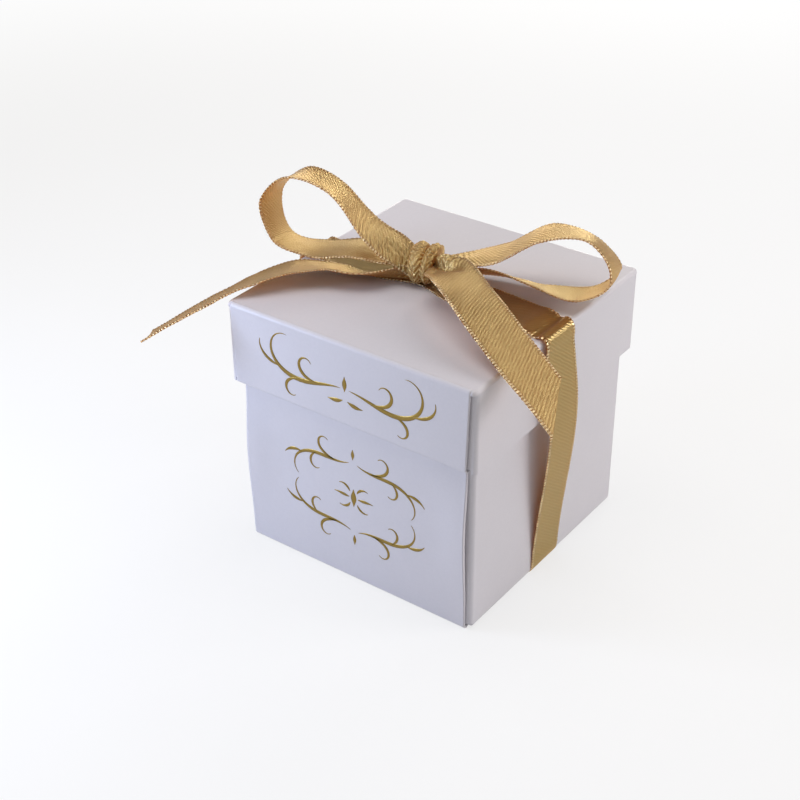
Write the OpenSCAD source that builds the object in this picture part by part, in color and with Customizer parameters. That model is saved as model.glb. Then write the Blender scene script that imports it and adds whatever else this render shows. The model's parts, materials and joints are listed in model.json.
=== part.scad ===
// Two-inch favor box: a folded card tray, a folded card lid and a satin ribbon
// tied round both with a bow. The front faces minus Y, the ribbon runs along X,
// and the box stands on the table at z zero.

/* [Card tray] */
// Outer width of the tray, left to right
base_w = 50.5; // [40:0.5:90]
// Outer depth of the tray, front to back
base_d = 50.5; // [40:0.5:90]
// Height of the tray's rim above the table
tray_h = 50.4; // [35:0.2:90]

/* [Card] */
// Thickness of the card
card_t = 0.4; // [0.3:0.05:0.6]
// Outer radius of a creased fold
crease_r = 0.8; // [0.7:0.05:1.2]
// Outer radius of the fold round an upright corner
corner_r = 0.9; // [0.8:0.05:1.4]
// Air between two layers of card that lie on each other
layer_gap = 0.1; // [0.05:0.05:0.2]
// Gap between the cut edge of a front or back panel and the corner fold behind it
edge_gap = 0.1; // [0.05:0.05:0.6]
// Length of the corner tab that slips behind a front or back panel
tab_len = 14; // [6:0.5:18]
// Length of the sloped hem between a front or back foot and the floor
hem_len = 0.6; // [0.4:0.1:1]

/* [Lid] */
// Height of the lid's skirt
skirt_h = 16.2; // [10:0.2:30]
// Play between a tray side wall and the lid's side skirt
side_play = 0.85; // [0.4:0.05:1.5]
// Play between a tray front or back wall and the skirt's liner
front_play = 0.15; // [0.1:0.05:0.6]

/* [Ribbon] */
// Width of the ribbon
ribbon_w = 9; // [6:0.5:11]
// Thickness of the ribbon
ribbon_t = 0.25; // [0.15:0.05:0.4]
// Place of the ribbon's centre line, front to back
ribbon_y = -1; // [-3:0.5:3]
// How far the slack side run bellies out from the box
side_belly = 2.4; // [1.6:0.1:4]

/* [Knot] */
// Place of the knot, left to right
knot_x = -2.5; // [-5:0.5:5]
// Place of the knot, front to back
knot_y = 0.3; // [-2:0.1:2]
// Length of the knot between its two wrapped ends
knot_len = 4.4; // [3:0.1:7]
// Depth of the knot across its wraps
knot_depth = 8.8; // [7:0.1:11]
// Height of the knot
knot_h = 6.4; // [5:0.1:8]
// Turn of the knot about the upright axis
knot_turn = 18; // [0:1:30]

/* [Loops] */
// Reach of the left loop from the knot
left_reach = 28; // [20:0.5:36]
// Sway of the left loop towards the front
left_sway = 9; // [4:0.5:12]
// Rise of the left loop above the knot
left_rise = 13.5; // [10:0.5:20]
// Reach of the right loop from the knot
right_reach = 32.5; // [24:0.5:40]
// Sway of the right loop towards the back
right_sway = 10; // [5:0.5:13]
// Rise of the right loop above the knot
right_rise = 8.5; // [7:0.5:14]

/* [Tails] */
// How far the left tail reaches past the lid's side edge
left_tail_past = 12.5; // [6:0.5:18]
// How far the left tail reaches past the lid's front edge
left_tail_out = 8.9; // [4:0.1:14]
// Height of the left tail's crown above the lid
left_tail_rise = 3.1; // [2.5:0.1:5]
// Droop of the left tail's end below the lid's top
left_tail_droop = 7.8; // [5:0.1:12]
// How far the right tail reaches past the lid's side edge
right_tail_past = 15; // [8:0.5:20]
// Reach of the right tail in front of the knot
right_tail_run = 22; // [18:0.5:28]
// Height of the right tail's crown above the lid
right_tail_rise = 6; // [5:0.1:8]
// Droop of the right tail's end below the lid's top
right_tail_droop = 4.6; // [2:0.1:10]
// Length over which the ribbon spreads out from the knot
gather_len = 8; // [5:0.5:12]

/* [Hidden] */
$fn = 48;

// One overrun serves every cut
overrun = 2;

card_white = "#F4F2F6";
card_inside = "#E6E2E8";
satin_gold = "#C9A462";
satin_shade = "#B08A4C";

// A front or back wall is three layers: the panel, the corner tab and the liner
tab_in = card_t + layer_gap;
liner_in = 2 * (card_t + layer_gap);
stack_t = liner_in + card_t;
roll_r = stack_t / 2;

// A front or back panel clears both the upright fold and the side wall's crease
edge_inset = max(corner_r, crease_r) + edge_gap;

// A side wall clears the hem, and the corner tab's fold reaches up to it
side_inset = max(tab_in + corner_r, crease_r + hem_len);
fold_leg = side_inset - tab_in - corner_r;

// The floor hangs on the side walls, one ribbon above the table
floor_z = ribbon_t;
floor_top_z = floor_z + card_t;

// The lid's top rests on the tray's rim
lid_z = tray_h + card_t;
skirt_z = lid_z - skirt_h;
roll_top_z = tray_h - layer_gap;
lid_w = base_w + 2 * (card_t + side_play);
lid_d = base_d + 2 * (stack_t + front_play);

// The ribbon lies on the lid, and the knot on the ribbon
ribbon_top_z = lid_z + ribbon_t;
knot_z = ribbon_top_z + knot_h / 2;
knot_at = [knot_x, knot_y, knot_z];

// Shape of the gathers, the belly and the knot, as shares
gather_share = 0.55;
run_steps = 8;
side_steps = 24;
belly_peak_power = 1.6;
knot_rings = 16;
knot_sides = 24;
knot_square_power = 0.8;
knot_waist_share = 0.78;
knot_end_share = 0.62;
strip_steps = 44;
slope_step_share = 0.01;

// Every strip is rooted inside the knot, at shares of the knot's length, depth and height
left_loop_out_shares = [-0.25, -0.05, 0.19];
left_loop_back_shares = [-0.25, -0.03, -0.04];
right_loop_out_shares = [0.25, 0.11, 0.04];
right_loop_back_shares = [0.25, 0.09, -0.23];
left_tail_root_shares = [-0.22, -0.08, -0.29];
right_tail_root_shares = [0.20, 0.00, 0.32];

// Loops run from the knot up and round, at shares of their reach, sway and rise, and come
// back along a lower strand, whose height above the lid is a share of the ribbon's width.
left_loop_shares = [
    [-0.35, -0.33, 0.40], [-0.59, -0.48, 0.87], [-0.85, -0.68, 1.00], [-1.01, -0.93, 0.64]
];
left_strand_shares = [[-0.92, -1.00, 0.58], [-0.68, -0.78, 0.41], [-0.39, -0.42, 0.53]];
left_loop_turns = [-11, 20, 3, -21, 0, -13];
right_loop_shares = [
    [0.38, 0.47, 0.40], [0.62, 0.77, 1.00], [0.86, 1.00, 0.99], [1.01, 1.02, 0.40]
];
right_strand_shares = [[0.87, 0.79, 0.29], [0.63, 0.59, 0.29], [0.37, 0.44, 0.35]];
right_loop_turns = [-10, 9, -27, 1, 30, 30];

// Tails leave the knot at shares of the gather and the rise. Each later point has shares of
// the way to the side edge and past it, of the way forward to the front edge and past it,
// and of the rise above the lid and the droop below it.
left_tail_near_shares = [-1.00, -0.77, 0.70];
left_tail_shares = [
    [0.58, 0, 0.37, 0, 1.00, 0], [0.80, 0, 0.55, 0, 0.96, 0], [1, 0, 0.73, 0, 0.30, 0],
    [1, 0.36, 0.93, 0, 0, 0.22], [1, 0.68, 1, 0.43, 0, 0.60], [1, 1, 1, 1, 0, 1]
];
left_tail_turns = [12, 20, 10, -6, -6, -4];
right_tail_near_shares = [1.21, -0.66, 1.07];
right_tail_shares = [
    [0.56, 0, 0, 0.44, 1.00, 0], [0.80, 0, 0, 0.62, 0.77, 0], [1, 0.06, 0, 0.76, 0.36, 0],
    [1, 0.56, 0, 0.89, 0, 0.14], [1, 1, 0, 1, 0, 1]
];
right_tail_turns = [8, 0, 9, 9, 0];

// Where the slanted cut ends on each tail's far edge
left_cut_share = 0.97;
right_cut_share = 0.80;

function smooth(s) = s * s * (3 - 2 * s);
function clamp(v, low, high) = min(max(v, low), high);
function mix(a, b, s) = a + (b - a) * s;
function unit(v) = v / norm(v);

// Point at share s of a smooth curve through all the given points
function through(points, s) =
    let (
        spans = len(points) - 1,
        i = min(floor(s * spans), spans - 1),
        f = s * spans - i,
        b = points[i],
        c = points[i + 1],
        a = i > 0 ? points[i - 1] : 2 * b - c,
        d = i + 2 <= spans ? points[i + 2] : 2 * c - b
    )
    0.5 * (2 * b + (c - a) * f + (2 * a - 5 * b + 4 * c - d) * f * f
        + (3 * b - a - 3 * c + d) * f * f * f);

function travel(points, s) =
    let (
        low = max(s - slope_step_share, 0),
        high = min(s + slope_step_share, 1)
    )
    unit(through(points, high) - through(points, low));

// Direction across the ribbon: front to back, square to the route, leaned by the turn
function across(points, turns, s) =
    let (
        t = travel(points, s),
        level = unit([0, 1, 0] - t * t[1]),
        lean = through(turns, s)
    )
    level * cos(lean) + cross(t, level) * sin(lean);

function scaled(shares, size) = [shares[0] * size[0], shares[1] * size[1], shares[2] * size[2]];

function root(shares) = knot_at + scaled(shares, [knot_len, knot_depth, knot_h]);

function loop_route(out, shares, strand, back, reach, sway, rise) = [
    root(out),
    for (p = shares)
        knot_at + scaled(p, [reach, sway, rise]),
    for (p = strand)
        [knot_x, knot_y, lid_z] + scaled(p, [reach, sway, ribbon_w]),
    root(back)
];

// Points over the lid and past its edges; side is 1 to the right and -1 to the left
function over_lid(shares, side, past, out, rise, droop) =
    let (
        to_side = lid_w / 2 - side * knot_x,
        to_front = lid_d / 2 + knot_y
    )
    [
        for (p = shares)
            [
                knot_x + side * (p[0] * to_side + p[1] * past),
                knot_y - p[2] * to_front - p[3] * out,
                lid_z + p[4] * rise - p[5] * droop
            ]
    ];

// Share of the full width at a distance from the knot
function spread(d) = mix(gather_share, 1, smooth(clamp(d / gather_len, 0, 1)));

// Half the width at share s of a strip, gathered where the strip meets the knot
function half_width(points, s, both_ends) =
    let (
        out = norm(through(points, s) - points[0]),
        back = norm(through(points, s) - points[len(points) - 1]),
        d = both_ends ? min(out, back) : out
    )
    spread(d) * ribbon_w / 2;

// Four corners of the strip's section: front and back edge, each with two faces
function section(points, turns, s_front, s_back, both_ends) = [
    for (side = [-1, 1])
        let (
            s = side < 0 ? s_front : s_back,
            w = across(points, turns, s),
            n = cross(travel(points, s), w)
        )
        for (face = [-side, side])
            through(points, s) + side * w * half_width(points, s, both_ends) + face * n * ribbon_t / 2
];

// Ribbon swept along a route, with its far end cut on the slant
module strip(points, turns, both_ends, cut_share) {
    rings = [
        for (i = [0 : strip_steps])
            section(points, turns, i / strip_steps, cut_share * i / strip_steps, both_ends)
    ];
    corners = [for (ring = rings) each ring];
    walls = [
        for (i = [0 : strip_steps - 1])
            for (k = [0 : 3])
                let (a = 4 * i + k, b = 4 * i + (k + 1) % 4)
                each [[a, b + 4, b], [a, a + 4, b + 4]]
    ];
    last = 4 * strip_steps;
    ends = [[0, 2, 3], [0, 1, 2], [last, last + 2, last + 1], [last, last + 3, last + 2]];
    polyhedron(points = corners, faces = concat(walls, ends));
}

// Quarter of a bent sheet in the plane, between two radii, from angle start
module quarter_ring(outer_r, inner_r, start) {
    rotate(start)
        intersection() {
            difference() {
                circle(outer_r);
                circle(inner_r);
            }
            square(outer_r + overrun);
        }
}

module half_roll(upwards) {
    intersection() {
        difference() {
            circle(roll_r);
            circle(roll_r - card_t);
        }
        translate([-roll_r - overrun, upwards ? 0 : -roll_r - overrun])
            square([2 * (roll_r + overrun), roll_r + overrun]);
    }
}

// Stands a profile drawn in Y and Z up, and runs it along X, centred
module along_x(length) {
    translate([-length / 2, 0, 0])
        rotate([90, 0, 90])
            linear_extrude(length)
                children();
}

// Stands a profile drawn in X and Z up, and runs it along Y, centred
module along_y(length, y = 0) {
    translate([0, y + length / 2, 0])
        rotate([90, 0, 0])
            linear_extrude(length)
                children();
}

module base_floor() {
    floor_w = base_w - 2 * crease_r;
    floor_d = base_d - 2 * (crease_r + hem_len);
    color(card_inside)
        translate([-floor_w / 2, -floor_d / 2, floor_z])
            cube([floor_w, floor_d, card_t]);
}

// Outer panel of the tray's front: hem, foot, wall and the roll over its rim
module base_front_wall() {
    color(card_white)
        along_x(base_w - 2 * edge_inset)
            translate([-base_d / 2, 0]) {
                polygon([
                    [crease_r, 0],
                    [crease_r + hem_len, floor_z],
                    [crease_r + hem_len, floor_top_z],
                    [crease_r, card_t]
                ]);
                translate([crease_r, crease_r])
                    quarter_ring(crease_r, crease_r - card_t, 180);
                translate([0, crease_r])
                    square([card_t, roll_top_z - roll_r - crease_r]);
                translate([roll_r, roll_top_z - roll_r])
                    half_roll(true);
            }
}

module base_back_wall() {
    mirror([0, 1, 0])
        base_front_wall();
}

// Side wall of the tray, one layer thick, with its foot folded under the floor's edge
module base_right_wall() {
    color(card_white)
        along_y(base_d - 2 * side_inset) {
            translate([base_w / 2 - crease_r, floor_z + crease_r])
                quarter_ring(crease_r, crease_r - card_t, 270);
            translate([base_w / 2 - card_t, floor_z + crease_r])
                square([card_t, tray_h - floor_z - crease_r]);
        }
}

module base_left_wall() {
    mirror([1, 0, 0])
        base_right_wall();
}

module base_front_liner() {
    color(card_inside)
        translate([-base_w / 2 + corner_r, -base_d / 2 + liner_in, floor_top_z])
            cube([base_w - 2 * corner_r, card_t, roll_top_z - roll_r - floor_top_z]);
}

module base_back_liner() {
    mirror([0, 1, 0])
        base_front_liner();
}

// Fold round an upright corner, with the tab behind the front panel
module corner_tab(width, depth, fold_low, fold_high, tab_low, tab_high) {
    translate([width / 2 - corner_r, -depth / 2 + tab_in, 0]) {
        translate([0, corner_r, fold_low])
            linear_extrude(fold_high - fold_low) {
                quarter_ring(corner_r, corner_r - card_t, 270);
                if (fold_leg > 0)
                    translate([corner_r - card_t, 0])
                        square([card_t, fold_leg]);
            }
        translate([-tab_len, 0, tab_low])
            cube([tab_len, card_t, tab_high - tab_low]);
    }
}

module base_tab_front_right() {
    low = floor_z + crease_r;
    color(card_white)
        corner_tab(base_w, base_d, low, tray_h, low, roll_top_z - roll_r - layer_gap);
}

module base_tab_front_left() {
    mirror([1, 0, 0])
        base_tab_front_right();
}

module base_tab_back_right() {
    mirror([0, 1, 0])
        base_tab_front_right();
}

module base_tab_back_left() {
    mirror([0, 1, 0])
        base_tab_front_left();
}

module lid_top() {
    top_w = lid_w - 2 * crease_r;
    top_d = lid_d - 2 * crease_r;
    color(card_white)
        translate([-top_w / 2, -top_d / 2, tray_h])
            cube([top_w, top_d, card_t]);
}

// Outer panel of the lid's front: the crease, the skirt and the roll under its edge
module lid_front_skirt() {
    color(card_white)
        along_x(lid_w - 2 * edge_inset)
            translate([-lid_d / 2, 0]) {
                translate([crease_r, lid_z - crease_r])
                    quarter_ring(crease_r, crease_r - card_t, 90);
                translate([0, skirt_z + roll_r])
                    square([card_t, skirt_h - roll_r - crease_r]);
                translate([roll_r, skirt_z + roll_r])
                    half_roll(false);
            }
}

module lid_back_skirt() {
    mirror([0, 1, 0])
        lid_front_skirt();
}

module lid_right_skirt() {
    color(card_white)
        along_y(lid_d - 2 * side_inset) {
            translate([lid_w / 2 - crease_r, lid_z - crease_r])
                quarter_ring(crease_r, crease_r - card_t, 0);
            translate([lid_w / 2 - card_t, skirt_z])
                square([card_t, skirt_h - crease_r]);
        }
}

module lid_left_skirt() {
    mirror([1, 0, 0])
        lid_right_skirt();
}

module lid_front_liner() {
    color(card_inside)
        translate([-lid_w / 2 + corner_r, -lid_d / 2 + liner_in, skirt_z + roll_r])
            cube([lid_w - 2 * corner_r, card_t, skirt_h - roll_r - card_t - layer_gap]);
}

module lid_back_liner() {
    mirror([0, 1, 0])
        lid_front_liner();
}

module lid_tab_front_right() {
    high = lid_z - crease_r;
    color(card_white)
        corner_tab(lid_w, lid_d, skirt_z, high, skirt_z + roll_r + layer_gap, high);
}

module lid_tab_front_left() {
    mirror([1, 0, 0])
        lid_tab_front_right();
}

module lid_tab_back_right() {
    mirror([0, 1, 0])
        lid_tab_front_right();
}

module lid_tab_back_left() {
    mirror([0, 1, 0])
        lid_tab_front_left();
}

// Stretch under the floor that turns up round the foot of each side wall
module ribbon_bottom_run() {
    flat_w = base_w - 2 * crease_r;
    color(satin_shade)
        along_y(ribbon_w, ribbon_y) {
            translate([-flat_w / 2, 0])
                square([flat_w, ribbon_t]);
            for (side = [0, 1])
                mirror([side, 0])
                    translate([flat_w / 2, floor_z + crease_r])
                        quarter_ring(crease_r + ribbon_t, crease_r, 270);
        }
}

// Slack side run: it bellies out past the lid's edge on its way down to the foot
module ribbon_right_side() {
    low_z = floor_z + crease_r;
    high_z = lid_z - crease_r;
    inner = [
        for (i = [0 : side_steps])
            let (s = i / side_steps)
            [
                mix(base_w, lid_w, s) / 2 + side_belly * sin(180 * pow(s, belly_peak_power)),
                mix(low_z, high_z, s)
            ]
    ];
    outer = [for (i = [side_steps : -1 : 0]) inner[i] + [ribbon_t, 0]];
    color(satin_gold)
        along_y(ribbon_w, ribbon_y)
            polygon(concat(inner, outer));
}

module ribbon_left_side() {
    mirror([1, 0, 0])
        ribbon_right_side();
}

// Stretch over the lid from one edge to the knot, gathered and drawn to the knot's line
module top_run(edge_x) {
    inset = sign(edge_x) * crease_r;
    run_x = edge_x - inset;
    rows = [
        for (i = [0 : run_steps])
            let (
                x = mix(knot_x, run_x, i / run_steps),
                y = mix(knot_y, ribbon_y, smooth(i / run_steps)),
                half = spread(abs(x - knot_x)) * ribbon_w / 2
            )
            [x, y, half]
    ];
    front = [for (r = rows) [r[0], r[1] - r[2]]];
    back = [for (i = [run_steps : -1 : 0]) [rows[i][0], rows[i][1] + rows[i][2]]];
    color(satin_gold) {
        translate([0, 0, lid_z])
            linear_extrude(ribbon_t)
                polygon(concat(front, back));
        along_y(ribbon_w, ribbon_y)
            translate([run_x, lid_z - crease_r])
                quarter_ring(crease_r + ribbon_t, crease_r, edge_x > 0 ? 0 : 90);
    }
}

module ribbon_top_left() {
    top_run(-lid_w / 2);
}

module ribbon_top_right() {
    top_run(lid_w / 2);
}

// Radius share along the knot: two rounded wraps with a waist between them
function wrap_share(u) =
    let (rise = 1 - pow(2 * abs(abs(u) - 0.5), 2))
    mix(abs(u) < 0.5 ? knot_waist_share : knot_end_share, 1, sqrt(max(rise, 0)));

function squared(v) = sign(v) * pow(abs(v), knot_square_power);

module knot_form() {
    turn = [cos(knot_turn), sin(knot_turn), 0];
    wrap = [-sin(knot_turn), cos(knot_turn), 0];
    rings = [
        for (i = [0 : knot_rings])
            let (u = 2 * i / knot_rings - 1, share = wrap_share(u))
            [
                for (k = [0 : knot_sides - 1])
                    let (a = 360 * k / knot_sides)
                    knot_at + turn * u * knot_len / 2
                        + wrap * squared(cos(a)) * share * knot_depth / 2
                        + [0, 0, squared(sin(a)) * share * knot_h / 2]
            ]
    ];
    corners = [for (ring = rings) each ring];
    walls = [
        for (i = [0 : knot_rings - 1])
            for (k = [0 : knot_sides - 1])
                let (
                    a = knot_sides * i + k,
                    b = knot_sides * i + (k + 1) % knot_sides
                )
                each [[a, b + knot_sides, b], [a, a + knot_sides, b + knot_sides]]
    ];
    last = knot_sides * knot_rings;
    ends = [
        for (k = [1 : knot_sides - 2])
            each [[0, k, k + 1], [last, last + k + 1, last + k]]
    ];
    polyhedron(points = corners, faces = concat(walls, ends));
}

module bow_knot() {
    color(satin_shade)
        knot_form();
}

module bow_left_loop() {
    points = loop_route(
        left_loop_out_shares, left_loop_shares, left_strand_shares, left_loop_back_shares,
        left_reach, left_sway, left_rise
    );
    color(satin_gold)
        difference() {
            strip(points, left_loop_turns, true, 1);
            knot_form();
        }
}

module bow_right_loop() {
    points = loop_route(
        right_loop_out_shares, right_loop_shares, right_strand_shares, right_loop_back_shares,
        right_reach, right_sway, right_rise
    );
    color(satin_gold)
        difference() {
            strip(points, right_loop_turns, true, 1);
            knot_form();
        }
}

module tail(root_shares, near_shares, far, rise, turns, cut_share) {
    near = [knot_x, knot_y, lid_z] + scaled(near_shares, [gather_len, gather_len, rise]);
    color(satin_gold)
        difference() {
            strip(concat([root(root_shares), near], far), turns, false, cut_share);
            knot_form();
        }
}

module bow_left_tail() {
    far = over_lid(
        left_tail_shares, -1, left_tail_past, left_tail_out, left_tail_rise, left_tail_droop
    );
    tail(left_tail_root_shares, left_tail_near_shares, far, left_tail_rise, left_tail_turns,
        left_cut_share);
}

module bow_right_tail() {
    far = over_lid(
        right_tail_shares, 1, right_tail_past, right_tail_run, right_tail_rise, right_tail_droop
    );
    tail(right_tail_root_shares, right_tail_near_shares, far, right_tail_rise, right_tail_turns,
        right_cut_share);
}

base_floor();
base_front_wall();
base_back_wall();
base_left_wall();
base_right_wall();
base_front_liner();
base_back_liner();
base_tab_front_left();
base_tab_front_right();
base_tab_back_left();
base_tab_back_right();
lid_top();
lid_front_skirt();
lid_back_skirt();
lid_left_skirt();
lid_right_skirt();
lid_front_liner();
lid_back_liner();
lid_tab_front_left();
lid_tab_front_right();
lid_tab_back_left();
lid_tab_back_right();
ribbon_bottom_run();
ribbon_left_side();
ribbon_right_side();
ribbon_top_left();
ribbon_top_right();
bow_knot();
bow_left_loop();
bow_right_loop();
bow_left_tail();
bow_right_tail();
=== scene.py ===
"""Favor box of folded pearl card tied with gold satin ribbon, dressed for the render.

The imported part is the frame. Its flat card solids stay and get their finish. The outer
front and back panels are bent anew, the lid's corners are closed, and a scroll ornament
in gold foil is laid on the front. The ribbon round the box, the knot, the two loops and
the two tails are worked out as pleated satin in place of the plain ribbon solids.
Lengths in the classes are millimetres; meshes are made in metres in the frame's axes.
"""
import json
import logging
import math
from dataclasses import dataclass
from enum import Enum
from typing import Sequence

import bpy
import numpy as np
from bpy.types import Material, NodeSocket, NodeTree, Object
from mathutils import Matrix, Vector

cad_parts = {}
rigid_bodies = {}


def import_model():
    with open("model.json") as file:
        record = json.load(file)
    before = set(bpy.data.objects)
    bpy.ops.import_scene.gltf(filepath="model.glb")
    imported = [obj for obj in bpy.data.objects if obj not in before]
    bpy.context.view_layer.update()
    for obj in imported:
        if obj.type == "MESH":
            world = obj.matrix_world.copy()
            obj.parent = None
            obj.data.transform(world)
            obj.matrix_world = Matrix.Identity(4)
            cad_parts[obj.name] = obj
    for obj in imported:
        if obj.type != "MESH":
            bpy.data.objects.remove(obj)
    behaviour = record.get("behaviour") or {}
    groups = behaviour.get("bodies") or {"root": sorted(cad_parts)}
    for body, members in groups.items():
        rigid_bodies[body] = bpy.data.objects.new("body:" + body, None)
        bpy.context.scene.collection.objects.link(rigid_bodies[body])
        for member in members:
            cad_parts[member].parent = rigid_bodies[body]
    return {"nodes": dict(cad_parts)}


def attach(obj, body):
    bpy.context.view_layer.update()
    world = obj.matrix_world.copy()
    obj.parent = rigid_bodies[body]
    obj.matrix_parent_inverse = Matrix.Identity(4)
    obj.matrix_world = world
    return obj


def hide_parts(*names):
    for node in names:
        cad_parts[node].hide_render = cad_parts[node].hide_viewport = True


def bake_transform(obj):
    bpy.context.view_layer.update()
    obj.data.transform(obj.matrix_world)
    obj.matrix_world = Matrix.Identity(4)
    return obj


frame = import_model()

LOG = logging.getLogger("favor_box")
MM = 0.001
WHITE = "#FFFFFF"
# A length under this counts as none
NO_LENGTH = 1e-12

Array = np.ndarray
Pair = tuple[float, float]
Triple = tuple[float, float, float]


class Body(Enum):
    """The two bodies that pieces ride on."""

    BASE = "base"
    LID = "lid"


class Slot(Enum):
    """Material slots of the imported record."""

    CARD = "card"
    RIBBON = "ribbon"


# Small helpers


def linear(hex_colour: str) -> tuple[float, float, float, float]:
    """Turns an sRGB hex value to linear colour.

    Args:
        hex_colour: six hex digits after a hash.

    Returns:
        Red, green, blue and an alpha of one.
    """
    shares = [int(hex_colour[i:i + 2], 16) / 255 for i in (1, 3, 5)]
    parts = [c / 12.92 if c <= 0.04045 else ((c + 0.055) / 1.055) ** 2.4 for c in shares]
    return (parts[0], parts[1], parts[2], 1.0)


def add_node(tree: NodeTree, kind: str, *values: object, named: dict | None = None,
             **settings: object) -> NodeSocket | None:
    """Adds a node, sets its settings, and fills or links its inputs.

    Args:
        tree: node tree that gets the node.
        kind: Blender's name of the node type, without ShaderNode.
        values: what goes into the inputs in use, in order: a value, a hex colour or a socket.
        named: the same for inputs picked by name.
        settings: properties of the node itself.

    Returns:
        The first output in use, or nothing for a node that has no output.
    """
    node = tree.nodes.new("ShaderNode" + kind)
    for name, value in settings.items():
        setattr(node, name, value)
    fills = list(zip([socket for socket in node.inputs if socket.enabled], values))
    fills += [(node.inputs[name], value) for name, value in (named or {}).items()]
    for socket, value in fills:
        if isinstance(value, NodeSocket):
            tree.links.new(value, socket)
        else:
            socket.default_value = linear(value) if isinstance(value, str) else value
    return next((socket for socket in node.outputs if socket.enabled), None)


def add_up(tree: NodeTree, start: object, *products: tuple[object, object]) -> NodeSocket:
    """Start plus the product of each pair, with one node for each pair."""
    total = start
    for pair in products:
        total = add_node(tree, "Math", *pair, total, operation="MULTIPLY_ADD")
    return total


def looking_share(tree: NodeTree, *rays: str) -> NodeSocket:
    """One for rays of the named kinds and zero for all others."""
    kinds = add_node(tree, "LightPath").node.outputs
    share = 0.0
    for ray in rays:
        share = add_node(tree, "Math", kinds[f"Is {ray} Ray"], share, operation="MAXIMUM")
    return share


def new_material(name: str) -> tuple[Material, NodeTree]:
    """Makes a material with an empty node tree."""
    material = bpy.data.materials.new(name)
    material.use_nodes = True
    material.node_tree.nodes.clear()
    return material, material.node_tree


def add_object(name: str, data: bpy.types.ID) -> Object:
    """Makes an object of a mesh, lamp or camera and links it to the scene."""
    made = bpy.data.objects.new(name, data)
    bpy.context.scene.collection.objects.link(made)
    return made


def smooth(x: Array) -> Array:
    """Smoothstep: three x squared less two x cubed, with x held between zero and one."""
    x = np.clip(x, 0.0, 1.0)
    return x * x * (3.0 - 2.0 * x)


def unit(v: Array) -> Array:
    """Vectors of the last axis divided by their lengths."""
    return v / np.maximum(np.linalg.norm(v, axis=-1, keepdims=True), NO_LENGTH)


def squared(x: Array, power: float) -> Array:
    """Sine or cosine raised to a power with its sign kept: under one it squares an oval."""
    return np.sign(x) * np.abs(x) ** power


def curve(points: Sequence, count: int, by_chord: bool = False) -> Array:
    """Smooth curve through points: a cubic Hermite piece over each span.

    The slope at a point is the mean of its two spans' slopes, each weighted by the other
    span's length.

    Args:
        points: control points or plain numbers.
        count: how many places on the curve, from its first point to its last.
        by_chord: whether a span is as long as its chord; otherwise all are equally long.

    Returns:
        Curve values, one row for each place.
    """
    p = np.asarray(points, float).reshape(len(points), -1)
    spans = np.linalg.norm(np.diff(p, axis=0), axis=1) if by_chord else np.ones(len(p) - 1)
    at = np.concatenate([[0.0], np.cumsum(spans)])
    m = np.gradient(p, at, axis=0)
    x = np.linspace(0.0, at[-1], count)
    i = np.clip(np.searchsorted(at, x, side="right") - 1, 0, len(spans) - 1)
    h = spans[i][:, None]
    f = (x - at[i])[:, None] / h
    return ((2 * f ** 3 - 3 * f ** 2 + 1) * p[i] + (f ** 3 - 2 * f ** 2 + f) * h * m[i]
            + (3 * f ** 2 - 2 * f ** 3) * p[i + 1] + (f ** 3 - f ** 2) * h * m[i + 1])


def ripple(x: Array, y: Array, wave_mm: float, seed: int, terms: int = 6,
           spread: Pair = (0.7, 1.5)) -> Array:
    """Seeded soft unevenness: a mean of sines with random headings near one wavelength."""
    rng = np.random.default_rng(seed)
    total = np.zeros(np.broadcast(x, y).shape)
    for _ in range(terms):
        heading = rng.uniform(0.0, math.tau)
        pitch = wave_mm * rng.uniform(*spread)
        phase = rng.uniform(0.0, math.tau)
        total += np.sin(math.tau * (x * math.cos(heading) + y * math.sin(heading)) / pitch + phase)
    return total / terms


def make_mesh(name: str, points_mm: Array, faces: list, material: Material,
              uv_mm: Array | None = None, crimp: Array | None = None,
              flat_from: int | None = None) -> Object:
    """Makes an object whose closed mesh faces outwards.

    The signed volume is the sum, over the triangles that fan out from each face's first
    corner, of one corner's dot with the cross of the other two. Below zero, every face is
    turned round.

    Args:
        name: object name.
        points_mm: vertex places in millimetres.
        faces: vertex numbers of each face.
        material: the finish of the whole piece.
        uv_mm: place on the cloth of each vertex, in millimetres across and along.
        crimp: how strongly the weave stands up at each vertex, zero to one.
        flat_from: number of the first face that is shaded flat, as on a cut edge.

    Returns:
        The new object, at the origin.
    """
    fans = np.array([(f[0], f[k], f[k + 1]) for f in faces for k in range(1, len(f) - 1)])
    a, b, c = (points_mm[fans[:, k]] for k in range(3))
    if np.einsum("ij,ij->", a, np.cross(b, c)) < 0:
        faces = [f[::-1] for f in faces]
    mesh = bpy.data.meshes.new(name)
    mesh.from_pydata((points_mm * MM).tolist(), [], faces)
    flat = len(faces) if flat_from is None else flat_from
    mesh.polygons.foreach_set("use_smooth", np.arange(len(faces)) < flat)
    if uv_mm is not None:
        corners = np.empty(len(mesh.loops), np.int32)
        mesh.loops.foreach_get("vertex_index", corners)
        layer = mesh.uv_layers.new(name="cloth")
        layer.data.foreach_set("uv", uv_mm[corners].astype(np.float32).ravel())
    if crimp is not None:
        attribute = mesh.attributes.new("crimp", "FLOAT", "POINT")
        attribute.data.foreach_set("value", crimp.astype(np.float32))
    mesh.materials.append(material)
    mesh.update()
    LOG.info("%s: %d faces", name, len(faces))
    return add_object(name, mesh)


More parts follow.
